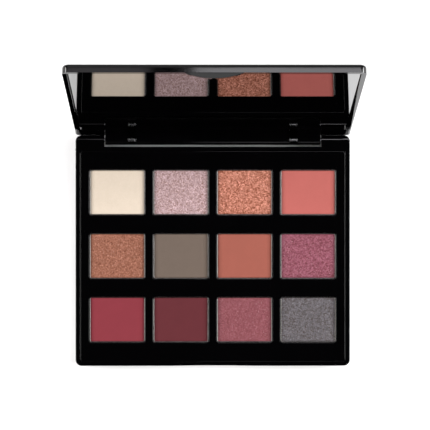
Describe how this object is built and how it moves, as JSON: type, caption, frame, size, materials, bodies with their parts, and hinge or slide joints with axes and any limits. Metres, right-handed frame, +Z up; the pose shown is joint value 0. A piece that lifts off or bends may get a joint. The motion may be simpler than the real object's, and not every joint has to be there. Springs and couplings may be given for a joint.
{
  "type": "eyeshadow palette",
  "caption": "Slim hinged makeup palette: black case with rectangular pans of pressed powder under a mirrored flip lid with a thumb lip.",
  "frame": {"origin": "middle of the flat underside of the base", "axes": "+X along the hinge axis, +Y from the thumb notch at the front towards the hinge at the back, +Z up out of the pans"},
  "size_m": [0.112, 0.1172, 0.0966],
  "materials": {
    "case_plastic": "polished black moulded plastic",
    "mirror_glass": "silvered flat glass",
    "tape_foam": "white double-sided foam tape",
    "pin_steel": "drawn steel wire",
    "tinplate": "pressed tinplate",
    "hot_melt": "translucent hot-melt glue",
    "powder_cream": "matte pressed powder",
    "powder_mauve_frost": "silvery shimmer pressed powder",
    "powder_rose_copper": "coarse glitter pressed powder",
    "powder_coral": "matte pressed powder",
    "powder_bronze": "metallic shimmer pressed powder",
    "powder_olive_taupe": "matte pressed powder",
    "powder_terracotta": "matte pressed powder",
    "powder_berry_frost": "pink shimmer pressed powder",
    "powder_crimson": "matte pressed powder",
    "powder_burgundy": "matte pressed powder",
    "powder_dusty_rose": "satin shimmer pressed powder",
    "powder_charcoal_frost": "silver shimmer pressed powder"
  },
  "bodies": {
    "base": {"base_shell": "case_plastic", "pan_tray": "case_plastic", "pan_cream": "tinplate", "powder_cream": "powder_cream", "glue_cream": "hot_melt", "pan_mauve_frost": "tinplate", "powder_mauve_frost": "powder_mauve_frost", "glue_mauve_frost": "hot_melt", "pan_rose_copper": "tinplate", "powder_rose_copper": "powder_rose_copper", "glue_rose_copper": "hot_melt", "pan_coral": "tinplate", "powder_coral": "powder_coral", "glue_coral": "hot_melt", "pan_bronze": "tinplate", "powder_bronze": "powder_bronze", "glue_bronze": "hot_melt", "pan_olive_taupe": "tinplate", "powder_olive_taupe": "powder_olive_taupe", "glue_olive_taupe": "hot_melt", "pan_terracotta": "tinplate", "powder_terracotta": "powder_terracotta", "glue_terracotta": "hot_melt", "pan_berry_frost": "tinplate", "powder_berry_frost": "powder_berry_frost", "glue_berry_frost": "hot_melt", "pan_crimson": "tinplate", "powder_crimson": "powder_crimson", "glue_crimson": "hot_melt", "pan_burgundy": "tinplate", "powder_burgundy": "powder_burgundy", "glue_burgundy": "hot_melt", "pan_dusty_rose": "tinplate", "powder_dusty_rose": "powder_dusty_rose", "glue_dusty_rose": "hot_melt", "pan_charcoal_frost": "tinplate", "powder_charcoal_frost": "powder_charcoal_frost", "glue_charcoal_frost": "hot_melt", "hinge_pin_left": "pin_steel", "hinge_pin_right": "pin_steel"},
    "lid": {"lid_shell": "case_plastic", "mirror": "mirror_glass", "mirror_tape": "tape_foam"}
  },
  "joints": [
    {"name": "lid_hinge", "type": "hinge", "parent": "base", "child": "lid", "pos_m": [0, 0.0452, 0.00638], "axis": [-1, 0, 0], "range_deg": [-102.2, 0]}
  ]
}
